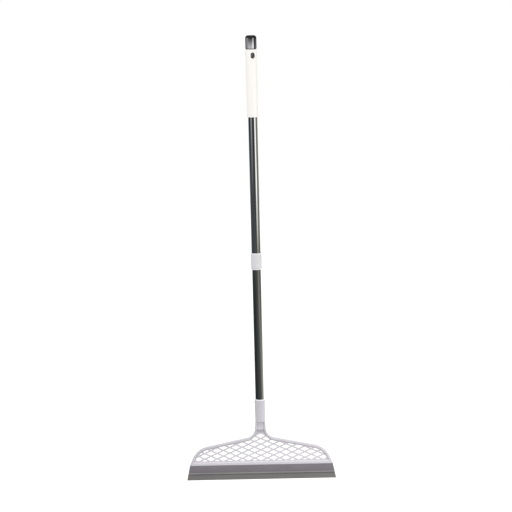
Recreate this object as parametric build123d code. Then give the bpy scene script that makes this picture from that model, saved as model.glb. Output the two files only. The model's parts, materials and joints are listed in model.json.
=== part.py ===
from build123d import *
import os
from math import cos, radians, sin, sqrt, tan

# Telescopic floor wiper: a two-tube pole with a twist lock, and an openwork head with a rubber strip.
# Millimetres, +Z up along the pole, the head's front towards -Y, the origin in the hanging eye.

# Hanging eye and end cap
eye_width = 5.6
eye_height = 9.4
eye_turn = 17.0
eye_below_cap = 12.9
cap_diameter = 24.0
cap_height = 29.9
cap_rounding = 5.9
cap_groove_height = 1.8
cap_groove_depth = 1.2
shank_below_eye = 6.8
spigot_length = 30.0

# Grip sleeve
grip_length = 143.2
grip_straight_length = 32.0
grip_top_diameter = 24.3
grip_end_diameter = 23.2
grip_edge_chamfer = 0.6
window_margin = 1.8

# Tubes, and how far the lower one sits inside the upper one
upper_tube_diameter = 19.4
upper_tube_length = 441.7
tube_wall = 0.35
tube_gap = 0.15
lower_tube_length = 406.9
overlap_length = 90.0

# Collar on the upper tube's lower end
collar_length = 36.0
collar_diameter = 23.2
collar_taper_length = 3.0
collar_taper_depth = 0.9
collar_lip_length = 6.0

# Twist lock at the lower tube's top end
plug_length = 24.0
plug_flange = 2.0
ring_length = 8.0
journal_diameter = 12.0
ring_split = 1.5
keeper_diameter = 15.0
keeper_thickness = 1.5
stub_diameter = 9.0
stub_offset = 0.6
lock_turn = 90.0
cam_length = 12.0
cam_split = 2.0
end_flange_diameter = 14.0
end_flange_thickness = 2.5

# Plug at the lower tube's bottom end
tube_in_socket = 22.0
tip_plug_length = 20.0
tip_stub_diameter = 13.9
tip_stub_length = 17.0

# Head: socket, neck and rim
socket_length = 50.3
socket_top_diameter = 23.0
socket_end_diameter = 21.4
socket_edge_chamfer = 0.7
head_width = 316.3
head_height = 98.2
side_lean = 23.4
shoulder_fall = 11.6
shoulder_apex = 66.5
neck_flare = 4.0
corner_radius = 47.0
neck_radius = 22.0
neck_in_socket = 5.0
rim_width = 6.2
neck_rim_width = 5.0
rim_thickness = 8.0
rim_rounding = 2.4
rim_inner_chamfer = 2.2
panel_width = 14.0
panel_height = 20.8
panel_thickness = 7.2
panel_rounding = 3.0

# Head: net, bottom band and tongue
band_height = 7.4
net_thickness = 3.0
net_pitch_across = 27.7
net_pitch_up = 12.7
net_bar = 2.6
net_corner_chamfer = 1.6
net_margin = 0.9
net_below_panel = 5.0
net_least_opening = 13.0
tongue_thickness = 3.2
tongue_depth = 10.0
tongue_end_gap = 7.0
bead_diameter = 5.0

# Rubber strip
strip_top_width = 316.5
strip_foot_width = 330.6
strip_height = 34.0
strip_band_height = 16.4
strip_band_thickness = 10.0
ridge_height = 3.0
ridge_thickness = 12.6
groove_height = 2.6
groove_thickness = 7.0
lip_top_thickness = 8.6
lip_foot_thickness = 2.8

# Clearances, each on one side
push_clearance = 0.03
running_clearance = 0.05
guide_clearance = 0.10
rubber_clearance = 0.15
axial_play = 0.10
seat_gap = 1.0

# Sizes that follow
upper_bore = upper_tube_diameter - 2 * tube_wall
lower_tube_diameter = upper_bore - 2 * tube_gap
lower_bore = lower_tube_diameter - 2 * tube_wall
grip_bore = upper_tube_diameter + 2 * running_clearance

# Levels along the pole, from the hanging eye at 0
cap_base = eye_below_cap
grip_end = cap_base - grip_length
upper_tube_top = -eye_height / 2 - shank_below_eye
upper_tube_end = upper_tube_top - upper_tube_length
collar_end = upper_tube_end - collar_lip_length
lower_tube_top = upper_tube_end + overlap_length
lower_tube_end = lower_tube_top - lower_tube_length
socket_top = lower_tube_end + tube_in_socket
socket_end = socket_top - socket_length
strip_top = socket_end - head_height
ring_level = lower_tube_top + plug_flange + axial_play
keeper_level = ring_level + ring_length + axial_play
cam_level = keeper_level + keeper_thickness + axial_play
end_flange_level = cam_level + cam_length + axial_play

# Drawing planes at the strip's top: the head seen from the front, and a cut across the strip
head_plane = Plane((0, 0, strip_top), x_dir=(1, 0, 0), z_dir=(0, -1, 0))
strip_section_plane = Plane((0, 0, strip_top), x_dir=(0, 1, 0), z_dir=(1, 0, 0))


def rod(diameter, bottom, top):
    """A round bar on the pole's axis between two levels."""
    return Pos(0, 0, bottom) * Cylinder(
        diameter / 2, top - bottom, align=(Align.CENTER, Align.CENTER, Align.MIN)
    )


def cone(bottom_diameter, top_diameter, bottom, top):
    """A tapered round bar on the pole's axis between two levels."""
    return Pos(0, 0, bottom) * Cone(
        bottom_diameter / 2, top_diameter / 2, top - bottom, align=(Align.CENTER, Align.CENTER, Align.MIN)
    )


def eye_slot(width, height):
    """An upright oval that runs through the pole at the eye's turn, for cutting."""
    oval = Plane.XZ * Rot(0, 0, 90) * SlotOverall(height, width)
    return Rot(0, 0, eye_turn) * extrude(oval, grip_top_diameter, both=True)


def hanger_cap():
    """Rounded end cap, its shank with the hanging eye, and the spigot that plugs the upper tube."""
    dome = rod(cap_diameter, cap_base + cap_groove_height, cap_base + cap_height)
    dome = fillet(dome.edges().sort_by(Axis.Z)[-1], cap_rounding)
    groove = rod(cap_diameter - 2 * cap_groove_depth, cap_base, cap_base + cap_groove_height)
    shank = rod(upper_tube_diameter, upper_tube_top, cap_base)
    spigot = rod(upper_bore - 2 * push_clearance, upper_tube_top - spigot_length, upper_tube_top)
    spigot = chamfer(spigot.edges().sort_by(Axis.Z)[0], tube_wall)
    return dome + groove + shank + spigot - eye_slot(eye_width, eye_height)


def grip():
    """Sleeve over the tube and the cap's shank: straight round the eye's two windows, tapered below."""
    taper_top = cap_base - grip_straight_length
    taper = cone(grip_end_diameter, grip_top_diameter, grip_end, taper_top)
    taper = chamfer(taper.edges().sort_by(Axis.Z)[0], grip_edge_chamfer)
    straight = rod(grip_top_diameter, taper_top, cap_base)
    straight = chamfer(straight.edges().sort_by(Axis.Z)[-1], grip_edge_chamfer)
    sleeve = taper + straight
    sleeve -= rod(grip_bore, grip_end, cap_base)
    return sleeve - eye_slot(eye_width + 2 * window_margin, eye_height + 2 * window_margin)


def tube(diameter, bottom, top):
    """Thin-walled tube between two levels."""
    return rod(diameter, bottom, top) - rod(diameter - 2 * tube_wall, bottom, top)


def collar():
    """Sleeve with tapered ends: seats the upper tube on a shoulder, and guides the lower tube in its lip."""
    top = collar_end + collar_length
    sleeve = rod(collar_diameter, collar_end, top)
    sleeve = chamfer(sleeve.edges().filter_by(GeomType.CIRCLE), collar_taper_length, collar_taper_depth)
    seat = rod(upper_tube_diameter + 2 * running_clearance, upper_tube_end, top)
    lip_bore = rod(lower_tube_diameter + 2 * guide_clearance, collar_end, upper_tube_end)
    return sleeve - seat - lip_bore


def lock_spindle():
    """Plug for the lower tube with the guide ring's journal, the cam's off-centre stub and an end flange."""
    plug = rod(lower_bore - 2 * push_clearance, lower_tube_top - plug_length, lower_tube_top)
    plug = chamfer(plug.edges().sort_by(Axis.Z)[0], tube_wall)
    flange = rod(lower_tube_diameter, lower_tube_top, lower_tube_top + plug_flange)
    journal = rod(journal_diameter, lower_tube_top + plug_flange, keeper_level)
    keeper = rod(keeper_diameter, keeper_level, keeper_level + keeper_thickness)
    stub = Pos(stub_offset, 0, 0) * rod(stub_diameter, keeper_level + keeper_thickness, end_flange_level)
    end_flange = rod(end_flange_diameter, end_flange_level, end_flange_level + end_flange_thickness)
    end_flange = chamfer(end_flange.edges().sort_by(Axis.Z)[-1], end_flange_thickness / 2)
    return plug + flange + journal + keeper + stub + end_flange


def glide_ring():
    """Split ring that turns on the spindle's journal and slides in the upper tube."""
    ring = rod(upper_bore - 2 * running_clearance, ring_level, ring_level + ring_length)
    ring = chamfer(ring.edges().filter_by(GeomType.CIRCLE), tube_wall)
    ring -= rod(journal_diameter + 2 * running_clearance, ring_level, ring_level + ring_length)
    split = Pos(0, upper_bore / 2, ring_level + ring_length / 2) * Box(ring_split, upper_bore, ring_length)
    return ring - split


def lock_cam():
    """Off-centre split ring on the stub, shown jammed: a turn of the lower tube by lock_turn frees it."""
    jam_offset = 2 * stub_offset * sin(radians(lock_turn / 2))
    radius = upper_bore / 2 - jam_offset - running_clearance
    middle = Pos(stub_offset, -stub_offset, 0)
    ring = middle * rod(2 * radius, cam_level, cam_level + cam_length)
    ring = chamfer(ring.edges().filter_by(GeomType.CIRCLE), tube_wall)
    bore = rod(stub_diameter + 2 * running_clearance, cam_level, cam_level + cam_length)
    split = Pos(0, upper_bore / 2, cam_level + cam_length / 2) * Box(cam_split, upper_bore, cam_length)
    return ring - Pos(stub_offset, 0, 0) * (bore + split)


def tip_plug():
    """Plug in the lower tube's bottom end, with a stub for the head's socket."""
    plug = rod(lower_bore - 2 * push_clearance, lower_tube_end, lower_tube_end + tip_plug_length)
    plug = chamfer(plug.edges().sort_by(Axis.Z)[-1], tube_wall)
    flange_end = lower_tube_end - plug_flange
    flange = rod(lower_tube_diameter, flange_end, lower_tube_end)
    stub = rod(tip_stub_diameter, flange_end - tip_stub_length, flange_end)
    stub = chamfer(stub.edges().sort_by(Axis.Z)[0], seat_gap)
    return plug + flange + stub


def head_face(inset, neck_inset, top):
    """The head's outline drawn in from its edges, from the strip's top at 0 up to a given height."""
    lean = tan(radians(side_lean))
    fall = tan(radians(shoulder_fall))
    flare = tan(radians(neck_flare))
    side = head_width / 2 - inset / cos(radians(side_lean))
    apex = shoulder_apex - inset / cos(radians(shoulder_fall))
    neck = socket_end_diameter / 2 - neck_inset
    corner_x = (side - lean * apex) / (1 - lean * fall)
    corner = (corner_x, apex - fall * corner_x)
    root_x = (neck + flare * (head_height - apex)) / (1 - flare * fall)
    root = (root_x, apex - fall * root_x)
    half = [(side, 0), corner, root, (neck + flare * (head_height - top), top)]
    other_half = [(-x, z) for x, z in reversed(half)]
    face = make_face(Polyline(*half, *other_half, close=True))
    face = fillet(face.vertices().group_by(Axis.Y)[2], neck_radius + inset)
    return fillet(face.vertices().group_by(Axis.Y)[1], corner_radius - inset)


def net_openings(field):
    """The net's diamonds, trimmed to the field inside the rim, without the scraps too small to mould."""
    reach = net_pitch_across * net_pitch_up / 2 / sqrt(net_pitch_across**2 + net_pitch_up**2)
    share = 1 - net_bar / 2 / reach
    half_across = net_pitch_across / 2 * share
    half_up = net_pitch_up / 2 * share
    diamond = Polygon((half_across, 0), (0, half_up), (-half_across, 0), (0, -half_up), align=None)
    sharp_corners = diamond.vertices().sort_by(Axis.X)
    diamond = chamfer([sharp_corners[0], sharp_corners[-1]], net_corner_chamfer)
    columns = int(head_width / net_pitch_across)
    rows = int(head_height / net_pitch_up)
    openings = []
    for column in range(-columns, columns + 1):
        lift = 0 if column % 2 else net_pitch_up / 2
        for row in range(rows):
            middle = (column * net_pitch_across / 2, band_height + lift + row * net_pitch_up)
            piece = (Pos(*middle) * diamond) & field
            openings += [face for face in piece.faces() if face.area > net_least_opening]
    return Sketch() + openings


def head():
    """One moulding: socket, stepped neck, rim with its net, bottom band, and the tongue for the strip."""
    neck_top = head_height + neck_in_socket
    rim = extrude(head_plane * head_face(0, 0, neck_top), rim_thickness / 2, both=True)
    sides = rim.faces().filter_by(Axis.Y)
    rim = fillet(sides.edges().filter_by(Axis.X, reverse=True), rim_rounding)

    pocket = head_face(rim_width, neck_rim_width, neck_top)
    above_band = Pos(0, band_height) * Rectangle(
        head_width, head_height - band_height, align=(Align.CENTER, Align.MIN)
    )
    pocket &= above_band
    rim -= extrude(head_plane * pocket, rim_thickness, both=True)
    pocket_wires = [face.inner_wires()[0] for face in rim.faces().filter_by(Axis.Y)]
    rim = chamfer([edge for wire in pocket_wires for edge in wire.edges()], rim_inner_chamfer)

    net = extrude(head_plane * pocket, net_thickness / 2, both=True)
    panel_low = head_height - panel_height
    panel_shape = Pos(0, panel_low) * RectangleRounded(
        panel_width, 2 * panel_height, panel_rounding, align=(Align.CENTER, Align.MIN)
    )
    panel_shape &= pocket
    panel = extrude(head_plane * panel_shape, panel_thickness / 2, both=True)
    low_bevel = (panel_thickness - net_thickness) / 2
    bevelled = Polygon(
        (panel_thickness / 2, panel_low + low_bevel),
        (panel_thickness / 2, neck_top),
        (-panel_thickness / 2, neck_top),
        (-panel_thickness / 2, panel_low + low_bevel),
        (-net_thickness / 2, panel_low),
        (net_thickness / 2, panel_low),
        align=None,
    )
    panel &= extrude(strip_section_plane * bevelled, panel_width, both=True)

    field = offset(pocket, -net_margin) - Pos(0, panel_low - net_below_panel) * Rectangle(
        head_width, head_height, align=(Align.CENTER, Align.MIN)
    )
    band_line = Pos(0, band_height) * Rectangle(head_width, net_pitch_up, align=(Align.CENTER, Align.MAX))
    openings = extrude(head_plane * net_openings(field - band_line), net_thickness, both=True)
    net -= openings

    socket = cone(socket_end_diameter, socket_top_diameter, socket_end, socket_top)
    socket = chamfer(socket.edges().filter_by(GeomType.CIRCLE).sort_by(Axis.Z)[-1], socket_edge_chamfer)
    flange_seat = lower_tube_end - plug_flange
    tube_seat = rod(lower_tube_diameter + 2 * guide_clearance, flange_seat, socket_top)
    stub_seat_end = flange_seat - tip_stub_length - seat_gap
    stub_seat = rod(tip_stub_diameter + 2 * guide_clearance, stub_seat_end, flange_seat)

    return rim + net + panel + socket + tongue(0) - tube_seat - stub_seat


def tongue(clearance):
    """Rail with a beaded edge under the bottom band or, with a clearance, the strip's slot for it."""
    length = strip_top_width - 2 * tongue_end_gap + 2 * clearance
    web = Rectangle(tongue_thickness + 2 * clearance, tongue_depth, align=(Align.CENTER, Align.MAX))
    bead = Pos(0, -tongue_depth) * Circle(bead_diameter / 2 + clearance)
    return extrude(strip_section_plane * (web + bead), length / 2, both=True)


def blade():
    """Rubber strip: a band slotted over the tongue, a ridge, a groove and a lip that thins to its foot."""
    ridge_low = strip_band_height + ridge_height
    groove_low = ridge_low + groove_height
    from_top = (Align.CENTER, Align.MAX)
    band = Rectangle(strip_band_thickness, strip_band_height + ridge_height / 2, align=from_top)
    ridge = Pos(0, -strip_band_height - ridge_height / 2) * SlotOverall(ridge_thickness, ridge_height)
    groove = Rectangle(groove_thickness, ridge_height + groove_height, align=from_top)
    groove = Pos(0, -strip_band_height) * groove
    lip = Polygon(
        (lip_top_thickness / 2, -groove_low),
        (lip_foot_thickness / 2, -strip_height),
        (-lip_foot_thickness / 2, -strip_height),
        (-lip_top_thickness / 2, -groove_low),
        align=None,
    )
    section = strip_section_plane * (band + ridge + groove + lip)
    strip = extrude(section, strip_foot_width / 2, both=True)
    slanted = Polygon(
        (strip_top_width / 2, 0),
        (strip_foot_width / 2, -strip_height),
        (-strip_foot_width / 2, -strip_height),
        (-strip_top_width / 2, 0),
        align=None,
    )
    strip &= extrude(head_plane * slanted, ridge_thickness, both=True)
    return strip - tongue(rubber_clearance)


pieces = {
    "hanger_cap": hanger_cap(),
    "grip": grip(),
    "upper_tube": tube(upper_tube_diameter, upper_tube_end, upper_tube_top),
    "collar": collar(),
    "glide_ring": glide_ring(),
    "lock_spindle": lock_spindle(),
    "lock_cam": lock_cam(),
    "lower_tube": tube(lower_tube_diameter, lower_tube_end, lower_tube_top),
    "tip_plug": tip_plug(),
    "head": head(),
    "blade": blade(),
}

os.makedirs("parts", exist_ok=True)
for name, piece in pieces.items():
    export_step(piece, f"parts/{name}.step")
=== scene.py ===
# %% [markdown]
# # A telescopic floor wiper
# The real object is a slim two-tube pole with a hanging eye, a white grip and a twist lock, and a flat
# openwork head that carries a rubber strip. The solids come from the CAD model and are already the right
# size and in the right place. Here they get what CAD leaves out: finishes, softened edges, small rubber
# nubs, a camera that stands where the photograph was taken from, and studio light. The wiper hangs by its
# eye, and its pole can be drawn out by 70 mm, so the floor lies that much below the strip.

# %% Load the frame
import json
import math

import bpy
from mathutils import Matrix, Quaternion, Vector


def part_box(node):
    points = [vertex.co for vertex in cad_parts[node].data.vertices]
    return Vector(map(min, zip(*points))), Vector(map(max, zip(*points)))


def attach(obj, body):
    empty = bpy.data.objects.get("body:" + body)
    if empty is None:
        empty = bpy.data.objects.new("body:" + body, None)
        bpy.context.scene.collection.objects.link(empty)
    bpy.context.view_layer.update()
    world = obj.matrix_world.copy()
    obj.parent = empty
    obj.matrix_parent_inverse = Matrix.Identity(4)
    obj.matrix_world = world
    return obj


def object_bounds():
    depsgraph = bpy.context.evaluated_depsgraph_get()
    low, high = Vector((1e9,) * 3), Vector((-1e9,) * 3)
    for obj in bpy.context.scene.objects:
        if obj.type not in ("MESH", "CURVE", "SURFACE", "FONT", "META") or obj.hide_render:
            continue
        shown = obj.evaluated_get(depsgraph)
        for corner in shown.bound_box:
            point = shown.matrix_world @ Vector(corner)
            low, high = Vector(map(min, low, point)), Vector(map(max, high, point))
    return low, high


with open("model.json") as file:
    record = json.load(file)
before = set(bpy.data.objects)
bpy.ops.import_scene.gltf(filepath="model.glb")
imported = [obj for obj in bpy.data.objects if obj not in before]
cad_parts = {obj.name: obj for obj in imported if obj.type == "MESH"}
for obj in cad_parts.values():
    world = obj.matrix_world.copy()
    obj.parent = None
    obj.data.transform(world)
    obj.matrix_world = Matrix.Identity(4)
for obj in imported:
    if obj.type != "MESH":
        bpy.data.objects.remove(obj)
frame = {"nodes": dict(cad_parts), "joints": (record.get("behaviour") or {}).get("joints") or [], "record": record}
nodes = frame["nodes"]
cad_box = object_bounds()
pole_slide = next(joint for joint in frame["joints"] if joint["name"] == "pole_slide")
room_under_strip = 0.002
floor_level = cad_box[0].z + pole_slide["range_m"][0] - room_under_strip
print("loaded", len(nodes), "nodes, and the floor lies at", round(floor_level, 3), "m")

# %% [markdown]
# ## Camera
# The photograph looks down a little from about three metres away, at about the height of the hanging eye,
# and the pole leans to the left in the picture. A camera is aimed with a track quaternion, which is a turn
# that points its -Z at the target. The lean is a turn about that same line, so it is multiplied on the
# right.

# %% Place the camera
camera_turn = math.radians(0.8)
camera_distance = 3.0
camera_place = Vector((math.sin(camera_turn), -math.cos(camera_turn), 0.0)) * camera_distance
camera_place.z = 0.019
camera_target = Vector((-0.0003, 0.0, -0.4301))
camera_lean = math.radians(-1.42)

camera_data = bpy.data.cameras.new("photo_camera")
camera_data.sensor_width = 36.0
camera_data.lens = 98.4
camera = bpy.data.objects.new("photo_camera", camera_data)
bpy.context.scene.collection.objects.link(camera)
camera.location = camera_place
camera.rotation_mode = "QUATERNION"
view_line = camera_target - camera_place
camera.rotation_quaternion = view_line.to_track_quat("-Z", "Y") @ Quaternion((0, 0, 1), camera_lean)
bpy.context.scene.camera = camera
look_down = math.degrees(math.asin(-view_line.normalized().z))
print("camera looks down by", round(look_down, 1), "degrees")

# %% [markdown]
# ## Starting a finish
# Every finish below is a small node tree, and a few helpers keep the cells short. These add a node, start a
# material with its Principled shader, and fill one socket: with a link where the value comes from another
# node, and with a plain value otherwise.


# %% Helpers that start a finish
def add_node(tree, kind, **settings):
    """A new node of a tree; settings named like an input socket fill it, the others are properties."""
    node = tree.nodes.new(kind)
    for name, value in settings.items():
        socket = node.inputs.get(name.replace("_", " ").title())
        if socket is not None:
            socket.default_value = value
        else:
            setattr(node, name, value)
    return node


def start_finish(name):
    """A new material: its tree, its Principled shader, and an Object coordinates output."""
    finish = bpy.data.materials.new(name)
    finish.use_nodes = True
    tree = finish.node_tree
    shader = tree.nodes["Principled BSDF"]
    place = tree.nodes.new("ShaderNodeTexCoord").outputs["Object"]
    return finish, tree, shader, place


def fill(tree, socket, source):
    """Links a socket to another node's output, or sets it to a plain value."""
    if isinstance(source, bpy.types.NodeSocket):
        tree.links.new(source, socket)
    else:
        socket.default_value = (*source, 1) if isinstance(source, tuple) else source


print("helpers that start a finish are ready")

# %% [markdown]
# ## Places and patterns
# Object coordinates are metres on the piece itself, so a pattern keeps its real size and stays put. A CAD
# node lies at the origin, so on these pieces they are also the CAD model's own coordinates, and a level or
# a thickness can pick out a place on a piece. Noise gives the fine patterns, and a Map Range node turns its
# grey values into the range that a finish needs.


# %% Helpers for places and patterns
def calculate(tree, operation, first, second=0.0):
    """One sum: its inputs are outputs of other nodes or plain numbers."""
    node = add_node(tree, "ShaderNodeMath", operation=operation)
    fill(tree, node.inputs[0], first)
    fill(tree, node.inputs[1], second)
    return node.outputs["Value"]


def coordinates(tree, place):
    """The X, Y and Z of a place."""
    split = tree.nodes.new("ShaderNodeSeparateXYZ")
    tree.links.new(place, split.inputs["Vector"])
    return split.outputs["X"], split.outputs["Y"], split.outputs["Z"]


def grain(tree, place, size, stretch=(1, 1, 1), detail=3.0):
    """Noise about size metres wide on the piece; stretch makes it longer along an axis."""
    mapping = tree.nodes.new("ShaderNodeMapping")
    mapping.inputs["Scale"].default_value = [1 / (size * s) for s in stretch]
    tree.links.new(place, mapping.inputs["Vector"])
    noise = add_node(tree, "ShaderNodeTexNoise", scale=1.0, detail=detail, roughness=0.55)
    tree.links.new(mapping.outputs["Vector"], noise.inputs["Vector"])
    return noise.outputs["Fac"]


def spread(tree, factor, low, high, start=0.3, end=0.7):
    """Maps the values from start to end onto the range from low to high."""
    ranger = tree.nodes.new("ShaderNodeMapRange")
    ranger.inputs["From Min"].default_value = start
    ranger.inputs["From Max"].default_value = end
    ranger.inputs["To Min"].default_value = low
    ranger.inputs["To Max"].default_value = high
    tree.links.new(factor, ranger.inputs["Value"])
    return ranger.outputs["Result"]


print("helpers for places and patterns are ready")

# %% [markdown]
# ## Colours and relief
# A colour goes from one to another along a level, a thickness or a noise, and two colours can be
# multiplied. Fine relief is a bump in real metres. Some CAD edges are sharp and real ones aren't, so the
# Bevel node rounds them off in the shading, and the mesh stays as it is.


# %% Helpers for colours and relief
def blend(tree, factor, start, end, first, second):
    """Goes from a first colour to a second one as the factor goes from start to end."""
    mix = add_node(tree, "ShaderNodeMix", data_type="RGBA")
    tree.links.new(spread(tree, factor, 0.0, 1.0, start, end), mix.inputs[0])
    fill(tree, mix.inputs[6], first)
    fill(tree, mix.inputs[7], second)
    return mix.outputs[2]


def multiply(tree, first, second):
    """The product of two colours."""
    mix = add_node(tree, "ShaderNodeMix", data_type="RGBA", blend_type="MULTIPLY")
    mix.inputs[0].default_value = 1.0
    fill(tree, mix.inputs[6], first)
    fill(tree, mix.inputs[7], second)
    return mix.outputs[2]


def relief(tree, shader, height, depth, soft_edge=0.0):
    """A bump of that depth in metres, on edges that the Bevel node rounds off in the shading."""
    bump = tree.nodes.new("ShaderNodeBump")
    bump.inputs["Distance"].default_value = depth
    tree.links.new(height, bump.inputs["Height"])
    if soft_edge:
        soft = add_node(tree, "ShaderNodeBevel", samples=6, radius=soft_edge)
        tree.links.new(soft.outputs["Normal"], bump.inputs["Normal"])
    tree.links.new(bump.outputs["Normal"], shader.inputs["Normal"])


print("helpers for colours and relief are ready")

# %% [markdown]
# ## World
# The photograph has a plain white ground. A white world seen by camera, glossy and transmission rays gives
# that, and its light on matt surfaces is set apart, so that the ground can be white while the light on the
# object stays at a plain level. The Light Path node tells the kinds of rays apart.


# %% World
def seen_directly(tree):
    """1 for camera, glossy and transmission rays, 0 for light that falls on matt surfaces."""
    path = tree.nodes.new("ShaderNodeLightPath")
    sharp = calculate(tree, "MAXIMUM", path.outputs["Is Glossy Ray"], path.outputs["Is Transmission Ray"])
    return calculate(tree, "MAXIMUM", path.outputs["Is Camera Ray"], sharp)


world = bpy.data.worlds.new("white_studio")
world.use_nodes = True
bpy.context.scene.world = world
world_light = 1.15
background = world.node_tree.nodes["Background"]
background.inputs["Color"].default_value = (1, 1, 1, 1)
level = spread(world.node_tree, seen_directly(world.node_tree), world_light, 1.0, 0.0, 1.0)
world.node_tree.links.new(level, background.inputs["Strength"])
print("world light", world_light)

# %% [markdown]
# ## Floor
# The floor is one large square below the strip. A pale matt floor alone would look grey against the white
# world, so it also glows a little, for the same direct rays only. It reads white, takes a soft shadow, and
# sends no extra light up at the object.

# %% Floor
floor_half = 6.0
floor_glow = 0.6
corners = [(-1, -1), (1, -1), (1, 1), (-1, 1)]
floor_points = [(x * floor_half, y * floor_half, floor_level) for x, y in corners]
floor_mesh = bpy.data.meshes.new("floor")
floor_mesh.from_pydata(floor_points, [], [(0, 1, 2, 3)])
floor = bpy.data.objects.new("floor", floor_mesh)
bpy.context.scene.collection.objects.link(floor)
floor_finish, tree, shader = start_finish("floor_white")[:3]
shader.inputs["Base Color"].default_value = (0.46, 0.46, 0.46, 1)
shader.inputs["Roughness"].default_value = 0.9
shader.inputs["Specular IOR Level"].default_value = 0.0
shader.inputs["Emission Color"].default_value = (1, 1, 1, 1)
glow = spread(tree, seen_directly(tree), 0.0, floor_glow, 0.0, 1.0)
tree.links.new(glow, shader.inputs["Emission Strength"])
floor_mesh.materials.append(floor_finish)
print("floor", 2 * floor_half, "m wide")

# %% [markdown]
# ## Lamps
# The photograph's light is soft and nearly even. The upper faces of the socket, the collar and the rim are
# lighter, so a large softbox hangs overhead. The low pieces are lighter on their right sides and the grip
# is not, so a small one stands low on the right, near the head. An area lamp shines along its own -Z, so it
# is aimed at a point the same way as the camera. Its power is a radiance times its area times pi, which
# keeps the brightness of its face plain to read. These lamps light matt surfaces only, because metal shows
# whole surroundings, and these come next. The Standard view transform keeps the ground white.


# %% Lamps
def softbox(name, place, target, width, height, radiance):
    """A rectangular area lamp at a place, aimed at a target, with the brightness of its face."""
    lamp_data = bpy.data.lights.new(name, "AREA")
    lamp_data.shape = "RECTANGLE"
    lamp_data.size = width
    lamp_data.size_y = height
    lamp_data.energy = radiance * math.pi * width * height
    lamp = bpy.data.objects.new(name, lamp_data)
    bpy.context.scene.collection.objects.link(lamp)
    lamp.location = place
    lamp.rotation_mode = "QUATERNION"
    lamp.rotation_quaternion = (Vector(target) - Vector(place)).to_track_quat("-Z", "Y")
    lamp.visible_camera = False
    lamp.visible_glossy = False
    print(name, "is", width, "by", height, "m")


softbox("overhead_softbox", (0.0, -0.3, 1.5), (0.0, 0.0, -0.6), width=1.2, height=1.2, radiance=4.0)
softbox("low_right_softbox", (0.5, -0.2, -0.86), (0.0, 0.0, -0.8), width=0.25, height=0.35, radiance=2.2)
bpy.context.scene.view_settings.view_transform = "Standard"

# %% [markdown]
# ## What the steel shows
# Polished metal has hardly a look of its own: it shows the room. In the photograph the upper tube is dark,
# with a bright streak right of the middle, as from a tall window, and a faint one on the left. The lower
# tube, below the window's sill, only lightens to the right. The cap shows light in front of it, a sharp
# highlight and a dark ceiling. A round tube seen from the front shows the direction at twice the angle of
# its own surface, so a streak at half the radius stands 60 degrees to the right of the camera. A few panels
# of light on dim walls make such a room. A panel brightens from the first to the second of its four
# directions, in degrees from the camera, and fades from the third to the fourth. Its four heights, in
# metres, do the same. Edges past 180 degrees are never reached, so such a panel runs on to the back. The
# last number is its brightness, set by comparing renders with the photograph.

# %% Panels of the room
wall_glow = 0.08
panels = {
    "tall_window": ((27, 50, 58, 82), (-0.52, -0.34, -0.12, 0.02), 3.7),
    "window_sill": ((20, 50, 60, 90), (-0.85, -0.62, -0.46, -0.38), 0.4),
    "left_window": ((-75, -48, -36, -14), (-0.36, -0.16, -0.05, 0.03), 0.9),
    "upper_wall": ((-240, -200, 0, 20), (-0.62, -0.5, -0.35, -0.15), 0.1),
    "low_wall": ((-60, 75, 180, 240), (-1.3, -1.2, -0.55, -0.4), 0.2),
    "low_door": ((50, 100, 150, 200), (-1.3, -1.2, -0.84, -0.62), 0.6),
    "right_wall": ((70, 90, 150, 240), (-0.55, -0.45, 0.0, 0.1), 0.4),
    "back_wall": ((-240, -180, -150, -110), (-0.55, -0.45, 0.05, 0.15), 0.25),
    "cap_front": ((-78, -45, 40, 62), (-0.12, 0.02, 0.03, 0.11), 1.35),
    "cap_highlight": ((26, 46, 50, 60), (-0.12, 0.02, 0.05, 0.16), 3.0),
    "cap_left": ((-125, -100, -70, -45), (-0.08, 0.02, 0.12, 0.25), 0.65),
}
print("room with", len(panels), "panels of light")

# %% [markdown]
# ## Studio card
# A drum-shaped card round the pole holds that room. Its profile is turned about Z by a loop: a strip of
# floor, the wall, and a low cone that one last face closes at the top.

# %% Card mesh
card_radius = 0.6
card_steps = 72
card_foot = floor_level + 0.001
profile = [(0.2, card_foot), (card_radius, card_foot), (card_radius, 0.35), (0.01, 0.5)]
card_points = []
card_faces = []
for step in range(card_steps):
    turn = 2 * math.pi * step / card_steps
    card_points += [(radius * math.sin(turn), -radius * math.cos(turn), z) for radius, z in profile]
    here = len(profile) * step
    there = len(profile) * ((step + 1) % card_steps)
    card_faces += [(here + k, here + k + 1, there + k + 1, there + k) for k in range(len(profile) - 1)]
card_faces.append(range(len(profile) - 1, len(card_points), len(profile)))
card_mesh = bpy.data.meshes.new("studio_card")
card_mesh.from_pydata(card_points, [], card_faces)
card = bpy.data.objects.new("studio_card", card_mesh)
bpy.context.scene.collection.objects.link(card)
print("studio card:", len(card_faces), "faces")

# %% [markdown]
# ## Glow of the card
# Each panel is a product of two soft windows, one in direction and one in height, and the panels add up.
# The tubes look a little cool on the left and warm on the right, more so below the collar, and the cap is
# neutral, so a tint colours the glow. Only glossy rays see the card, so it neither stands in the picture
# nor lights the plastic.


# %% Card glow
def soft_window(tree, place, edges):
    """Rises from 0 to 1 between the first two edges, and falls again between the last two."""
    rising = spread(tree, place, 0.0, 1.0, edges[0], edges[1])
    falling = spread(tree, place, 1.0, 0.0, edges[2], edges[3])
    return calculate(tree, "MINIMUM", rising, falling)


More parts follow.
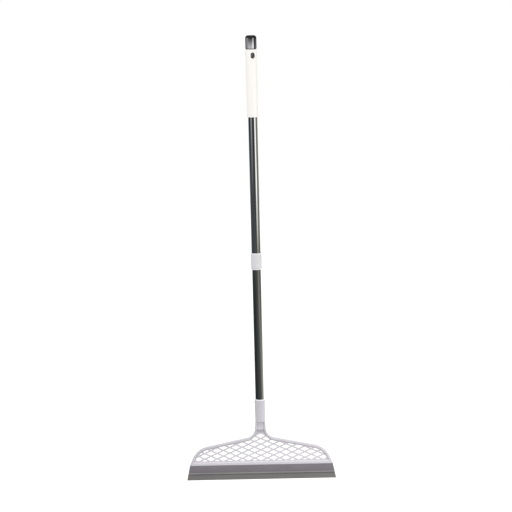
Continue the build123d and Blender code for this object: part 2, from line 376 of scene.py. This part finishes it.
card_finish, tree, shader, place = start_finish("card_glow")
x, y, z = coordinates(tree, place)
angle = calculate(tree, "ARCTAN2", x, calculate(tree, "MULTIPLY", y, -1.0))
direction = spread(tree, angle, -180.0, 180.0, -math.pi, math.pi)
glow = wall_glow
for directions, heights, brightness in panels.values():
    across = soft_window(tree, direction, directions)
    inside = calculate(tree, "MULTIPLY", across, soft_window(tree, z, heights))
    glow = calculate(tree, "ADD", calculate(tree, "MULTIPLY", inside, brightness), glow)
cool_side = (0.93, 1.0, 1.1)
warm_side = blend(tree, z, -0.47, -0.4, (1.0, 0.995, 0.9), (1.0, 0.995, 0.97))
tint = blend(tree, direction, -11.0, 22.0, cool_side, warm_side)
tint = blend(tree, z, -0.03, 0.02, tint, (1.0, 1.0, 1.0))
shader.inputs["Base Color"].default_value = (0, 0, 0, 1)
shader.inputs["Specular IOR Level"].default_value = 0.0
tree.links.new(tint, shader.inputs["Emission Color"])
tree.links.new(glow, shader.inputs["Emission Strength"])
card_mesh.materials.append(card_finish)
for kind in ("camera", "diffuse", "transmission", "volume_scatter", "shadow"):
    setattr(card, "visible_" + kind, False)
print("made", card_finish.name)

# %% [markdown]
# ## Tube steel
# Both tubes are thin polished steel, dark as black nickel. Drawing a tube leaves very fine lines along it,
# so the roughness and a faint bump come from noise that is stretched 160 times along Z.

# %% Tube steel
tube_steel, tree, shader, place = start_finish("tube_steel")
shader.inputs["Metallic"].default_value = 1.0
lines = grain(tree, place, 0.0006, (1, 1, 160), detail=4.0)
cloud = grain(tree, place, 0.02, (1, 1, 4))
steel = blend(tree, cloud, 0.3, 0.7, (0.285, 0.29, 0.285), (0.315, 0.315, 0.305))
tree.links.new(steel, shader.inputs["Base Color"])
tree.links.new(spread(tree, lines, 0.08, 0.16), shader.inputs["Roughness"])
relief(tree, shader, lines, 0.000004)
print("made", tube_steel.name)

# %% [markdown]
# ## Cap
# The end cap has a mirror-black finish, smoother than the tubes, with the faint waviness of moulded plastic
# under bright plating. The plating stops at the groove under the cap, so the groove and the shank are plain
# black plastic, a little paler inside the eye. A level tells the plating from the plastic, and the distance
# from the pole's axis tells the inside of the eye.

# %% Cap colour
cap_black, tree, shader, place = start_finish("cap_black")
groove_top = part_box("grip")[1].z + 0.0018
plating_start = (groove_top, groove_top + 0.0001)
eye_inside = 0.0088
shank_outside = 0.0096
x, y, z = coordinates(tree, place)
waviness = grain(tree, place, 0.012)
smudge = grain(tree, place, 0.006, detail=5.0)
plating = blend(tree, waviness, 0.3, 0.7, (0.28, 0.28, 0.29), (0.32, 0.32, 0.33))
from_axis = calculate(tree, "ADD", calculate(tree, "POWER", x, 2.0), calculate(tree, "POWER", y, 2.0))
from_axis = calculate(tree, "SQRT", from_axis)
shank = blend(tree, from_axis, eye_inside, shank_outside, (0.11, 0.11, 0.1), (0.03, 0.03, 0.028))
tree.links.new(blend(tree, z, *plating_start, shank, plating), shader.inputs["Base Color"])
tree.links.new(spread(tree, z, 0.0, 1.0, *plating_start), shader.inputs["Metallic"])
tree.links.new(spread(tree, smudge, 0.03, 0.09), shader.inputs["Roughness"])
print("made", cap_black.name)

# %% [markdown]
# In the photograph the cap's wall seems very slightly crowned: its upper part shows the dark ceiling and
# its lower part the bright room. The solid leaves that out, so a bump that falls with the square of the
# height stands in for the crown, and the waviness is added to it.

# %% Cap relief
crown_radius = 0.35
wave_height = 0.00004
rise = calculate(tree, "MAXIMUM", calculate(tree, "SUBTRACT", z, groove_top), 0.0)
crown = calculate(tree, "MULTIPLY", calculate(tree, "POWER", rise, 2.0), -0.5 / crown_radius)
wavy_crown = calculate(tree, "ADD", crown, calculate(tree, "MULTIPLY", waviness, wave_height))
relief(tree, shader, wavy_crown, 1.0)
print("crown radius", crown_radius, "m")

# %% [markdown]
# ## Grip
# The grip is warm white satin plastic. Spark-eroded moulds leave a fine even grain, here a noise of about a
# third of a millimetre, and the white drifts a little between warm and cool.

# %% Grip finish
plastic_edge = 0.0004
grip_white, tree, shader, place = start_finish("grip_white")
drift = grain(tree, place, 0.03, (1, 1, 2))
white = blend(tree, drift, 0.3, 0.7, (0.945, 0.905, 0.86), (0.94, 0.91, 0.88))
tree.links.new(white, shader.inputs["Base Color"])
fine = grain(tree, place, 0.00035, detail=2.0)
tree.links.new(spread(tree, fine, 0.36, 0.50), shader.inputs["Roughness"])
relief(tree, shader, fine, 0.00002, plastic_edge)
print("made", grip_white.name)

# %% [markdown]
# ## Collar
# The collar and the head are pale satin plastic with a fine grain, and one function makes what they share.
# The collar comes from another mould and is a little lighter than the head. A painted highlight makes
# its foot a pale line: the colour is paler at that level.


# %% Collar finish
def pale_plastic(name, first, second):
    """Satin plastic that drifts between two near colours: the material, its tree, and that colour."""
    finish, tree, shader, place = start_finish(name)
    colour = blend(tree, grain(tree, place, 0.025), 0.3, 0.7, first, second)
    tree.links.new(colour, shader.inputs["Base Color"])
    fine = grain(tree, place, 0.0004, detail=2.0)
    tree.links.new(spread(tree, fine, 0.40, 0.56), shader.inputs["Roughness"])
    relief(tree, shader, fine, 0.00002, plastic_edge)
    print("made", name)
    return finish, tree, shader, place, colour


collar_tones = ((0.67, 0.66, 0.675), (0.70, 0.695, 0.705))
collar_pale, tree, shader, place, plain = pale_plastic("collar_pale", *collar_tones)
collar_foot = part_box("collar")[0].z
# painted highlight: a pale line at the collar's foot
painted_highlight_foot = (0.92, 0.91, 0.94)
z = coordinates(tree, place)[2]
colour = blend(tree, z, collar_foot + 0.0012, collar_foot + 0.0026, painted_highlight_foot, plain)
tree.links.new(colour, shader.inputs["Base Color"])

# %% [markdown]
# ## Head
# The head has a breath of lilac, and its rim is paler than its socket. A painted highlight runs round the
# socket's top edge, painted light brightens the grooves beside the neck's panel, and painted shade darkens
# the slopes inside the rim and the net under the panel. Lamps alone can't place such small shades, so the
# finish paints them: Z gives the level, and the size of Y, the distance from the head's middle plane, tells
# the thin net, the slopes and the front and back faces apart.

# %% Head colours by place
head_tones = ((0.57, 0.55, 0.60), (0.60, 0.585, 0.625))
head_pale, tree, shader, place, plain = pale_plastic("head_pale", *head_tones)
socket_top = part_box("head")[1].z
socket_end = -0.7984
panel_foot = -0.8168
band_top = -0.8885
net_depth = (0.0016, 0.0019)
face_depth = (0.0032, 0.0036)
# painted highlight round the socket's top edge
painted_highlight_edge = (0.86, 0.85, 0.88)
pale_rim = (0.66, 0.64, 0.685)
thin_plastic = (0.66, 0.64, 0.68)
# painted light in the grooves beside the neck's panel, against their shade
painted_light_groove = (0.92, 0.90, 0.94)
# painted shade on the slopes inside the rim and on the net under the panel
painted_shade_colour = (0.47, 0.455, 0.495)
x, y, z = coordinates(tree, place)
depth = calculate(tree, "ABSOLUTE", y)
solid = blend(tree, z, socket_end - 0.02, socket_end, pale_rim, plain)
solid = blend(tree, z, socket_top - 0.0020, socket_top - 0.0014, solid, painted_highlight_edge)
# painted shadow on the net under the neck's panel
under_panel = blend(tree, z, panel_foot - 0.010, panel_foot - 0.005, thin_plastic, painted_shade_colour)
thin = blend(tree, z, panel_foot - 0.0018, panel_foot, under_panel, painted_light_groove)
slope = blend(tree, z, panel_foot, panel_foot + 0.0006, painted_shade_colour, painted_light_groove)
colour = blend(tree, depth, *net_depth, thin, slope)
colour = blend(tree, depth, *face_depth, colour, solid)
colour = blend(tree, z, band_top, band_top + 0.0012, pale_rim, colour)
print("head from", round(socket_top, 4), "m down")

# %% [markdown]
# The rim's outer side faces up and out and catches the overhead light, so it gets a painted shade, one even
# tone from front to back, darker than the rim. There the surface faces away from the middle of the net, so
# the object-space normal, multiplied with the way from that middle, tells it from the slopes inside. The
# socket is laid over all of that, because it is round and has no sides.

# %% Painted shade on the head's outer side
net_middle = -0.86
# painted shade on the rim's outer side, against the overhead light it catches
outer_side_painted_shade = (0.54, 0.525, 0.56)
facing = tree.nodes.new("ShaderNodeTexCoord").outputs["Normal"]
facing_x, _, facing_z = coordinates(tree, facing)
sideways = calculate(tree, "MULTIPLY", facing_x, x)
upwards = calculate(tree, "MULTIPLY", facing_z, calculate(tree, "SUBTRACT", z, net_middle))
colour = blend(tree, calculate(tree, "ADD", sideways, upwards), 0.001, 0.003, colour, outer_side_painted_shade)
colour = blend(tree, z, socket_end - 0.0004, socket_end, colour, solid)
tree.links.new(colour, shader.inputs["Base Color"])
print("head tree has", len(tree.nodes), "nodes")

# %% [markdown]
# ## Rubber
# The strip is matt grey rubber with a dusty bloom in soft patches, fine pores, and faint lines along its
# length from the mould. Its band has a lilac tinge and a painted shade that darkens it towards the ridge,
# the ridge has a painted highlight, and the lip, which wears on the floor, is a warmer grey.

# %% Rubber finish
strip_rubber, tree, shader, place = start_finish("strip_rubber")
strip_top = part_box("blade")[1].z
band_foot = strip_top - 0.0164
band_face = 0.005
lip_grey = (0.187, 0.183, 0.176)
# painted highlight colour of the ridge
ridge_highlight_grey = (0.24, 0.23, 0.235)
_, y, z = coordinates(tree, place)
# painted shade: the band darkens towards the ridge
band = blend(tree, z, band_foot, strip_top - 0.003, (0.172, 0.160, 0.174), (0.197, 0.182, 0.202))
grey = blend(tree, z, band_foot - 0.004, band_foot - 0.003, lip_grey, band)
depth = calculate(tree, "ABSOLUTE", y)
# painted highlight on the ridge, beyond the band's face
with_ridge_highlight = blend(tree, depth, band_face + 0.0001, band_face + 0.0007, grey, ridge_highlight_grey)
bloom = grain(tree, place, 0.018, (3, 1, 1), detail=4.0)
dust = blend(tree, bloom, 0.3, 0.7, (0.94, 0.94, 0.95), (1.06, 1.06, 1.05))
tree.links.new(multiply(tree, with_ridge_highlight, dust), shader.inputs["Base Color"])
pores = grain(tree, place, 0.0005, (6, 1, 1), detail=3.0)
tree.links.new(spread(tree, pores, 0.58, 0.74), shader.inputs["Roughness"])
relief(tree, shader, pores, 0.00004, plastic_edge)
print("made", strip_rubber.name)

# %% [markdown]
# ## Lock plastic
# The pieces inside the tubes are plain dark plastic with turning marks. They are hidden at rest, and still
# get a finish of their own for anyone who takes the pole apart.

# %% Lock finish
lock_plastic, tree, shader, place = start_finish("lock_plastic")
drift = grain(tree, place, 0.008)
dark = blend(tree, drift, 0.3, 0.7, (0.045, 0.045, 0.048), (0.06, 0.06, 0.062))
tree.links.new(dark, shader.inputs["Base Color"])
turning = grain(tree, place, 0.0003, (40, 40, 1), detail=2.0)
tree.links.new(spread(tree, turning, 0.38, 0.55), shader.inputs["Roughness"])
relief(tree, shader, turning, 0.00003)
print("made", lock_plastic.name)

# %% [markdown]
# ## Dress the solids
# A CAD node keeps its shape and takes a finish through its material slot. The record names each node's
# slot, so a table from slot to finish is all that is needed.

# %% Dress the solids
finishes = {
    "cap_black": cap_black,
    "grip_white": grip_white,
    "tube_steel": tube_steel,
    "head_pale": head_pale,
    "collar_pale": collar_pale,
    "strip_rubber": strip_rubber,
    "lock_plastic": lock_plastic,
}
for part in frame["record"]["subparts"]:
    node = nodes[part["node"]]
    node.data.materials.clear()
    node.data.materials.append(finishes[part["material_slot"]])
    print(part["node"], "wears", part["material_slot"])

# %% [markdown]
# ## Nubs on the strip
# Five faint dots stand in a row near the strip's top in the photograph: small rubber nubs, 60 mm apart. A
# row is what Geometry Nodes are for. The tree lays points on a line, puts a low dome on a flange at each
# point, and turns a copy half round for the back of the strip. Realize Instances makes real mesh of it.


# %% Tree of the nub row
def nub_row_tree():
    """A node group that sets a row of nubs on the strip's front and back."""
    group = bpy.data.node_groups.new("nub_row", "GeometryNodeTree")
    sockets = [("Count", "NodeSocketInt"), ("Pitch", "NodeSocketFloat"), ("Radius", "NodeSocketFloat"),
               ("Face", "NodeSocketFloat"), ("Level", "NodeSocketFloat"), ("Finish", "NodeSocketMaterial")]
    for name, kind in sockets:
        group.interface.new_socket(name, in_out="INPUT", socket_type=kind)
    group.interface.new_socket("Nubs", in_out="OUTPUT", socket_type="NodeSocketGeometry")
    given = group.nodes.new("NodeGroupInput").outputs
    link = group.links.new

    half_length = calculate(group, "MULTIPLY", calculate(group, "SUBTRACT", given["Count"], 1.0), -0.5)
    start = group.nodes.new("ShaderNodeCombineXYZ")
    link(calculate(group, "MULTIPLY", half_length, given["Pitch"]), start.inputs["X"])
    link(calculate(group, "MULTIPLY", given["Face"], -1.0), start.inputs["Y"])
    link(given["Level"], start.inputs["Z"])
    stride = group.nodes.new("ShaderNodeCombineXYZ")
    link(given["Pitch"], stride.inputs["X"])
    line = group.nodes.new("GeometryNodeMeshLine")
    link(given["Count"], line.inputs["Count"])
    link(start.outputs["Vector"], line.inputs["Start Location"])
    link(stride.outputs["Vector"], line.inputs["Offset"])

    dome = add_node(group, "GeometryNodeMeshUVSphere", segments=24, rings=12)
    link(calculate(group, "MULTIPLY", given["Radius"], 0.75), dome.inputs["Radius"])
    low_dome = add_node(group, "GeometryNodeTransform", scale=(1.0, 1.0, 0.3))
    link(dome.outputs["Mesh"], low_dome.inputs["Geometry"])
    flange = add_node(group, "GeometryNodeMeshCylinder", vertices=24, depth=0.0002)
    link(given["Radius"], flange.inputs["Radius"])
    nub = group.nodes.new("GeometryNodeJoinGeometry")
    link(low_dome.outputs["Geometry"], nub.inputs["Geometry"])
    link(flange.outputs["Mesh"], nub.inputs["Geometry"])

    row = add_node(group, "GeometryNodeInstanceOnPoints", rotation=(math.pi / 2, 0.0, 0.0))
    link(line.outputs["Mesh"], row.inputs["Points"])
    link(nub.outputs["Geometry"], row.inputs["Instance"])
    back = add_node(group, "GeometryNodeTransform", rotation=(0.0, 0.0, math.pi))
    link(row.outputs["Instances"], back.inputs["Geometry"])
    both = group.nodes.new("GeometryNodeJoinGeometry")
    link(row.outputs["Instances"], both.inputs["Geometry"])
    link(back.outputs["Geometry"], both.inputs["Geometry"])
    real = group.nodes.new("GeometryNodeRealizeInstances")
    link(both.outputs["Geometry"], real.inputs["Geometry"])
    dressed = group.nodes.new("GeometryNodeSetMaterial")
    link(real.outputs["Geometry"], dressed.inputs["Geometry"])
    link(given["Finish"], dressed.inputs["Material"])
    link(dressed.outputs["Geometry"], group.nodes.new("NodeGroupOutput").inputs["Nubs"])
    return group


nub_tree = nub_row_tree()
print("nub tree has", len(nub_tree.nodes), "nodes")

# %% [markdown]
# A modifier on an empty mesh runs the tree. Its inputs are set by the sockets' identifiers, because two
# sockets may share a name. new_from_object keeps the result as one plain mesh, so the maker can go.

# %% Nubs on the strip
nub_values = {
    "Count": 5,
    "Pitch": 0.060,
    "Radius": 0.0016,
    "Face": band_face,
    "Level": strip_top - 0.005,
    "Finish": strip_rubber,
}
maker = bpy.data.objects.new("nub_maker", bpy.data.meshes.new("nub_maker"))
bpy.context.scene.collection.objects.link(maker)
modifier = maker.modifiers.new("nub_row", "NODES")
modifier.node_group = nub_tree
for item in nub_tree.interface.items_tree:
    if item.in_out == "INPUT":
        modifier[item.identifier] = nub_values[item.name]
evaluated = maker.evaluated_get(bpy.context.evaluated_depsgraph_get())
nub_mesh = bpy.data.meshes.new_from_object(evaluated)
bpy.data.objects.remove(maker)
nubs = bpy.data.objects.new("strip_nubs", nub_mesh)
bpy.context.scene.collection.objects.link(nubs)
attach(nubs, "lower_pole")
print("nubs:", len(nub_mesh.polygons), "faces")
